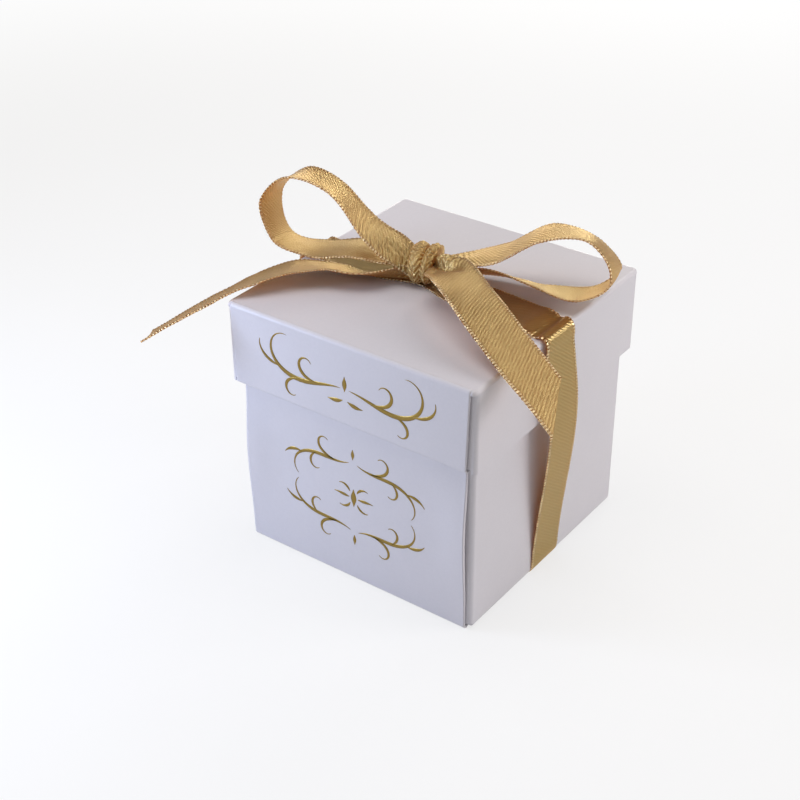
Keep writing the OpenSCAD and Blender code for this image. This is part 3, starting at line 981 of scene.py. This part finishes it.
@dataclass
class SatinStrip:
    """One length of ribbon swept along a route, with beaded edges.

    The route is a smooth curve. The cloth's across direction is the depth axis made
    square to the route and leaned by the turn. A point of the cloth is the route's point,
    plus across times half the width there, plus the normal times its lift.
    """

    name: str
    route: Sequence
    turns: Sequence
    replaces: tuple[str, ...]
    width_mm: float = 9.0
    thick_mm: float = 0.22
    gather_share: float = 0.55
    gather_mm: float = 7.0
    both_ends: bool = False
    cut_share: float = 1.0
    folds: tuple[Fold | Pleats, ...] = ()
    end_pleats: tuple[Pleats, ...] = ()
    wrinkle_mm: float = 0.05
    wrinkles: tuple = ((1.0, 5.0, 0), (0.4, 1.8, 50))
    crown_mm: float = 0.25
    mirror_weave: bool = False
    crimps: tuple[Triple, ...] = ()
    seed: int = 1
    near_gather: float = 1.0
    crimp_base: float = 0.4
    crimp_gather: float = 0.4
    row_mm: float = 0.13
    bead_pitch_mm: float = 0.62
    bead_mm: float = 0.14
    bead_least: float = 0.35
    bead_drift_mm: float = 0.2
    bead_drifts: Pair = (1.3, 0.57)
    pressed_mm: float = 0.0
    bead_centre: float = 0.955
    bead_spread: float = 0.035
    scallop_mm: float = 0.13
    scallop_from: float = 0.93
    edge_from: float = 0.9
    edge_power: float = 30.0
    face_steps: int = 20
    edge_steps: int = 5
    dense: int = 1600

    def centre_line(self) -> tuple[Array, Array]:
        """Dense route points and the lean at each, in radians."""
        return curve(self.route, self.dense), np.radians(curve(self.turns, self.dense)[:, 0])

    def shares(self) -> Array:
        """Places across the upper face, minus one to one, closer together at the edges."""
        edge = self.edge_from
        side = edge + (1 - edge) * np.sin(np.linspace(0, math.pi / 2, self.edge_steps + 1))[1:]
        return np.concatenate([-side[::-1], np.linspace(-edge, edge, self.face_steps + 1), side])

    def axes(self) -> tuple[Array, Array, Array, Array]:
        """Dense route points, the arc length at each, and the cloth's across and normal."""
        points, lean = self.centre_line()
        step = np.linalg.norm(np.diff(points, axis=0), axis=1)
        arc = np.concatenate([[0.0], np.cumsum(step)])
        tangent = unit(np.gradient(points, axis=0))
        level = unit(np.array([0.0, 1.0, 0.0]) - tangent * tangent[:, 1:2])
        across = level * np.cos(lean)[:, None] + np.cross(tangent, level) * np.sin(lean)[:, None]
        return points, arc, across, np.cross(tangent, across)

    def half_sizes(self, v: Array, y: Array, z: Array, open_share: Array) -> tuple[Array, Array]:
        """Half width and half thickness of the cloth at each place.

        The edge beads are cosine swellings whose pitch drifts a little along the cloth. Near
        the table they are pressed flat, where that is asked for.
        """
        width = self.gather_share + (1.0 - self.gather_share) * open_share
        width = width * np.where(v < 0, self.near_gather + (1 - self.near_gather) * open_share, 1.0)
        drift = self.bead_drift_mm * (np.sin(y * self.bead_drifts[0])
                                      + np.sin(y * self.bead_drifts[1] + self.seed))
        bead = 0.5 + 0.5 * np.cos(math.tau * (y + drift) / self.bead_pitch_mm)
        bead_height = self.bead_least + (1.0 - self.bead_least) * bead
        rim = smooth((np.abs(v) - self.scallop_from) / (1.0 - self.scallop_from))
        half = self.width_mm / 2 * width * np.abs(v) + self.scallop_mm * rim * (bead - 0.5)
        round_off = np.sqrt(np.clip(1.0 - np.abs(v) ** self.edge_power, 0.0, 1.0))
        swell = np.exp(-((np.abs(v) - self.bead_centre) / self.bead_spread) ** 2)
        if self.pressed_mm:
            swell = swell * smooth(z / self.pressed_mm)
        return half, round_off * (self.thick_mm / 2 + self.bead_mm * swell * bead_height)

    def lift(self, v: Array, y: Array, near_end: Array, open_share: Array) -> Array:
        """How far the cloth stands off its route: crown, wrinkles, folds and pleats."""
        cloth_across = v * self.width_mm / 2
        lift = (self.crown_mm * (1.0 - v ** 2) * open_share
                + sum(self.wrinkle_mm * share * ripple(cloth_across, y, wave_mm, self.seed + more)
                      for share, wave_mm, more in self.wrinkles))
        for fold in self.folds:
            lift = lift + fold.lift(v, y)
        for pleats in self.end_pleats:
            lift = lift + pleats.lift(v, near_end)
        return lift

    def crimp(self, y: Array, open_share: Array) -> Array:
        """How strongly the weave stands up: most where the cloth is gathered or pinched."""
        crimp = self.crimp_base + self.crimp_gather * (1.0 - open_share)
        for middle, half_reach, strength in self.crimps:
            crimp = np.maximum(crimp, strength * smooth(1.0 - np.abs(y - middle) / half_reach))
        return crimp

    def build(self, satin: Material) -> Object:
        """Works out the strip on a grid of arc length by place round the section.

        Returns:
            The piece, with what it replaces and its slot set.
        """
        points, arc, across, normal = self.axes()
        total = arc[-1]
        upper = self.shares()
        v = np.concatenate([upper, upper[-2:0:-1]])
        face = np.concatenate([np.ones(len(upper)), -np.ones(len(upper) - 2)])
        reach = 1.0 + (self.cut_share - 1.0) * (v + 1.0) / 2.0
        y = total * np.linspace(0.0, 1.0, int(total / self.row_mm) + 1)[:, None] * reach[None, :]
        v = np.broadcast_to(v, y.shape)

        def at(table: Array) -> Array:
            """Rows of a table along the route, taken at each place's arc length."""
            return np.stack([np.interp(y, arc, table[:, k]) for k in range(3)], -1)

        near_end = total - y
        open_share = smooth((np.minimum(y, near_end) if self.both_ends else y) / self.gather_mm)
        route = at(points)
        half, thick = self.half_sizes(v, y, route[..., 2], open_share)
        lift = self.lift(v, y, near_end, open_share)
        place = (route + at(across) * (np.sign(v) * half)[..., None]
                 + at(normal) * (lift + face * thick)[..., None])

        rows, cols = y.shape
        faces = grid_faces(rows, cols, wrap_cols=True)
        for base in (0, (rows - 1) * cols):
            for k in range(len(upper) - 1):
                ring = (k, k + 1, (cols - k - 1) % cols, (cols - k) % cols)
                cap = list(dict.fromkeys(base + corner for corner in ring))
                faces.append(cap[::-1] if base else cap)
        weave_side = -1.0 if self.mirror_weave else 1.0
        uv = np.stack([weave_side * (v * self.width_mm / 2), y], -1).reshape(-1, 2)
        LOG.info("%s: %.1f mm of ribbon", self.name, total)
        piece = make_mesh(self.name, place.reshape(-1, 3), faces, satin, uv,
                          self.crimp(y, open_share).ravel())
        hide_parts(*self.replaces)
        return piece


@dataclass
class BoxBand(SatinStrip):
    """The ribbon round the box: knot to left edge, down, under the tray, up and back."""

    knot_mm: Triple = (-2.5, 0.3, 50.95)
    middle_mm: Triple = (0, -0.45, 0.16)
    left_slant: float = 0.4
    left_shift_mm: float = 0.2
    crest_from_mm: float = 51.0
    left_crest: float = 0.35
    right_half: tuple = (
        (3, 0.25, 50.95), (10, 0.0, 50.99), (16, -0.7, 51.1), (19.6, -1.25, 51.25),
        (22.2, -1.6, 51.5), (23.5, -1.85, 51.3), (24.4, -1.95, 50.99), (25.1, -2.05, 51.1),
        (25.8, -2.1, 51.42), (26.6, -2.12, 51.25), (27.15, -2.12, 50.6), (27.38, -2.12, 49.6),
        (27.36, -2.1, 48.0), (27.6, -2.05, 46),
        (28.1, -1.95, 42), (28.5, -1.8, 38), (28.6, -1.65, 34), (28.39, -1.5, 29),
        (27.77, -1.25, 23), (26.85, -0.95, 16), (25.99, -0.65, 9), (25.53, -0.45, 4),
        (25.42, -0.42, 1.7), (25.25, -0.4, 0.8), (24.85, -0.4, 0.27), (24.2, -0.4, 0.17),
        (22, -0.4, 0.16), (12, -0.45, 0.16))

    def centre_line(self) -> tuple[Array, Array]:
        """Route round the box: the right half and its flatter mirror, leaned nowhere."""
        right = np.array(self.right_half, float)
        left = right[1:] * np.array([-1.0, 1.0, 1.0])
        left[:, 1] = left[:, 1] * self.left_slant + self.left_shift_mm
        crest = left[:, 2] > self.crest_from_mm
        left[crest, 2] = self.crest_from_mm + self.left_crest * (left[crest, 2] - self.crest_from_mm)
        ring = np.vstack([self.knot_mm, left, self.middle_mm, right[::-1], self.knot_mm])
        points = curve(ring, self.dense, by_chord=True)
        return points, np.zeros(len(points))


@dataclass
class WrapKnot:
    """The knot: two fat wraps of gathered ribbon, side by side round the crossing."""

    name: str = "bow_knot_wraps"
    centre_mm: Triple = (-2.5, 0.3, 54.25)
    turn_deg: float = 18.0
    depth_mm: float = 8.8
    height_mm: float = 6.4
    wraps: tuple = ((-1.05, 1.3, 1.0, -0.25, 1.0), (1.15, 1.0, 0.95, 0.3, 2.0))
    oval_power: float = 0.8
    section_powers: Pair = (0.75, 0.6)
    relief_power: float = 0.5
    section_share: float = 0.9
    crumples: tuple = ((0.12, 2.6, 0), (0.05, 1.0, 9))
    ridge_mm: float = 0.05
    ridge_pitch_mm: float = 0.75
    ridge_lean: float = 1.1
    pleat_mm: float = 0.16
    pleat_wander: Pair = (0.12, 2.5)
    tilt_phase: float = 0.6
    cloth_share: float = 1.2
    around: int = 320
    section: int = 72
    core_mm: Triple = (2.6, 3.4, 2.3)
    core_folds: int = 7
    core_fold: float = 0.07
    core_twist: float = 1.5
    core_tip: float = 0.02
    core_steps: tuple[int, int] = (40, 64)
    core_cloth_share: float = 0.6
    seed: int = 20

    def laid(self, along: Array, across: Array, up: Array) -> Array:
        """Points at offsets from the centre: along the knot, across it and up."""
        turn = math.radians(self.turn_deg)
        axis = np.array([math.cos(turn), math.sin(turn), 0.0])
        side = np.array([-math.sin(turn), math.cos(turn), 0.0])
        place = (np.array(self.centre_mm) + axis * along[..., None] + side * across[..., None]
                 + np.array([0.0, 0.0, 1.0]) * up[..., None])
        return place.reshape(-1, 3)

    def wrap(self, offset: float, half_len: float, half_thick: float, tilt: float,
             pleats: float, seed: int) -> tuple[Array, list, Array]:
        """One wrap as a tube.

        Its middle runs round a squared oval: depth times cos and height times sin of the
        angle, each to a power. The section is a squared oval as long as the wrap is wide.
        Cosine pleats run along it, fine ridges cross it, and a crumple breaks them.

        Returns:
            Places, faces and cloth coordinates.
        """
        a = np.linspace(0.0, math.tau, self.around, endpoint=False)[:, None]
        b = np.linspace(0.0, math.tau, self.section, endpoint=False)[None, :]
        mid_y = (self.depth_mm / 2 - half_thick) * squared(np.cos(a), self.oval_power)
        mid_z = (self.height_mm / 2 - half_thick) * squared(np.sin(a), self.oval_power)
        d_y, d_z = np.gradient(mid_y[:, 0]), np.gradient(mid_z[:, 0])
        length = np.hypot(d_y, d_z)
        n_y, n_z = (d_z / length)[:, None], (-d_y / length)[:, None]
        arc = np.cumsum(length)[:, None]
        local = half_len * squared(np.cos(b), self.section_powers[0])
        round_arc = b * half_len * self.section_share
        relief = sum(height * ripple(arc, round_arc, wave_mm, seed + more)
                     for height, wave_mm, more in self.crumples)
        crossing = arc + self.ridge_lean * np.abs(local)
        relief = relief + self.ridge_mm * np.sin(math.tau * crossing / self.ridge_pitch_mm)
        wander, wander_turns = self.pleat_wander
        pleated = pleats * local / half_len + wander * np.sin(wander_turns * a)
        relief = relief + self.pleat_mm * np.cos(math.pi * pleated)
        thick = (half_thick * squared(np.sin(b), self.section_powers[1])
                 + relief * squared(np.sin(b), self.relief_power))
        along = local + offset + tilt * np.sin(a + self.tilt_phase)
        uv = np.broadcast_arrays(np.abs(local) * self.cloth_share, arc)
        return (self.laid(along, mid_y + n_y * thick, mid_z + n_z * thick),
                grid_faces(self.around, self.section, True, True), np.stack(uv, -1).reshape(-1, 2))

    def core(self) -> tuple[Array, list, Array]:
        """The gathered lump inside: a squashed ball with folds running out to its ends.

        Point: centre plus half sizes times (cos t, sin t cos p, sin t sin p), the last two
        swollen by a small sine for the folds.

        Returns:
            Places, faces and cloth coordinates.
        """
        rows, cols = self.core_steps
        t = np.linspace(self.core_tip, math.pi - self.core_tip, rows)[:, None]
        p = np.linspace(0.0, math.tau, cols, endpoint=False)[None, :]
        folds = np.sin(self.core_folds * p + self.core_twist * t)
        swell = np.sin(t) * (1.0 + self.core_fold * folds)
        a, b, c = self.core_mm
        place = self.laid(a * np.cos(t) + 0 * p, b * swell * np.cos(p), c * swell * np.sin(p))
        faces = grid_faces(rows, cols, wrap_cols=True)
        faces += [list(range(cols))[::-1], list(range((rows - 1) * cols, rows * cols))]
        uv = np.stack([b * (p + 0 * t) * self.core_cloth_share, a * t + 0 * p], -1)
        return place, faces, uv.reshape(-1, 2)

    def build(self, satin: Material) -> None:
        """Makes the wraps and the gathered lump that they are tied round, as one piece."""
        parts = [self.wrap(*sizes, self.seed + k) for k, sizes in enumerate(self.wraps)]
        parts.append(self.core())
        points, faces = joined([part[:2] for part in parts])
        cloth = np.vstack([part[2] for part in parts])
        piece = make_mesh(self.name, points, faces, satin, cloth, np.ones(len(points)))
        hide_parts("bow_knot")
        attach(piece, Body.LID.value)


@dataclass
class TiedRibbon:
    """The whole ribbon: the band round the box and the bow with its knot, loops and tails."""

    band_start_mm: float = 1.1
    band_end_mm: float = 50.0
    strips: tuple[SatinStrip, ...] = (
        SatinStrip(
            name="bow_left_loop_satin", replaces=("bow_left_loop",), both_ends=True, seed=3,
            route=((-3.4, -1.3, 53.7), (-12.2, -2.7, 59.2), (-19, -4, 66), (-26.3, -5.8, 67.8),
                   (-30.9, -8.1, 62.9), (-28.2, -8.7, 55.9), (-21.4, -6.7, 54.4),
                   (-13.4, -3.5, 55.4), (-3.4, -0.3, 53.9)),
            turns=(-20, 6.5, 21, 15, 3, -11, -21, -11, 0, -4, -13), gather_share=0.62,
            mirror_weave=True, crimps=((5.0, 17.0, 1.0),),
            folds=(Fold(-1.5, 0.0, 0.85, -9, 1, 14), Pleats(0.10, 3.2, 40, 8)),
            end_pleats=(Pleats(0.25, 2.0, 0, 9),)),
        SatinStrip(
            name="bow_right_loop_satin", replaces=("bow_right_loop",), both_ends=True, seed=5,
            gather_mm=9.0,
            route=((-1.0, 1.4, 54.5), (9.85, 5.0, 57.65), (17.65, 8.0, 62.75), (25.4, 10.3, 62.7),
                   (30.2, 10.5, 57.5), (25.8, 8.2, 53.3), (17.95, 6.2, 53.3), (9.5, 4.7, 54),
                   (-1.0, 1.2, 53.0)),
            turns=(-10, 9, -27, 1, 30, 30),
            folds=(Pleats(0.25, 2.0, 90, 10),), end_pleats=(Pleats(0.2, 2.0, 0, 9),)),
        SatinStrip(
            name="bow_left_tail_satin", replaces=("bow_left_tail",), cut_share=0.97, seed=7,
            gather_share=0.34, gather_mm=14.0,
            route=((-3.5, -0.5, 52.5), (-10.6, -7.5, 52.95), (-16.5, -9.2, 53.3),
                   (-21.9, -13.3, 53.3), (-26.5, -19.9, 51.8), (-30.9, -25, 49.1),
                   (-35.1, -30.5, 46.1), (-39.0, -35.4, 43.1)),
            turns=(80, 35, 22, 18, 6, 0, -3, -5, -4, -5), mirror_weave=True,
            folds=(Pleats(0.2, 2.4, 60, 8),)),
        SatinStrip(
            name="bow_right_tail_satin", replaces=("bow_right_tail",), cut_share=0.80, seed=11,
            route=((0.1, -0.1, 54.8), (6.9, -4.9, 56.95), (13.7, -9.4, 56.8),
                   (20.6, -13.4, 55.4), (27.5, -16.5, 52.95), (34.7, -19.3, 50.2),
                   (41.5, -21.7, 46.4)),
            turns=(8, 0, 9, 9, 0), crimps=((1.5, 7.0, 1.3),), near_gather=0.3,
            folds=(Fold(1.7, 0.35, 0.6, -4, 2.2, 7.5), Fold(-1.4, -0.45, 0.22, -1, 4, 10, drift=0.09),
                   Fold(1.0, -1.0, 0.3, 0, 5, 14),
                   Fold(0.17, 0.3, 0.75, -1, 2.8, 7.5, ridge_mm=0.8))),
    )

    def build(self) -> None:
        """Makes the satin, the strips, the knot and the band, and sets the body that the strips and the
        knot ride on.
        """
        satin = GoldSatin().make()
        for strip in self.strips:
            piece = strip.build(satin)
            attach(piece, Body.LID.value)
        WrapKnot().build(satin)
        band = BoxBand(
            name="box_band_satin", route=(), turns=(), both_ends=True, gather_mm=8.0, seed=13,
            crimp_base=0.0, row_mm=0.155, face_steps=16, edge_steps=4, crown_mm=0.0,
            wrinkle_mm=0.02, pressed_mm=3.0, dense=5000,
            replaces=("ribbon_bottom_run", "ribbon_left_side", "ribbon_right_side",
                      "ribbon_top_left", "ribbon_top_right")).build(satin)
        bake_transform(band)


def main() -> None:
    """Builds the scene in order: camera, studio, card and ribbon."""
    logging.basicConfig(level=logging.INFO, format="%(name)s: %(message)s")
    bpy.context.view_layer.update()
    PhotoCamera().place()
    Studio().build()
    CardBox().dress()
    TiedRibbon().build()


if __name__ == "__main__":
    main()
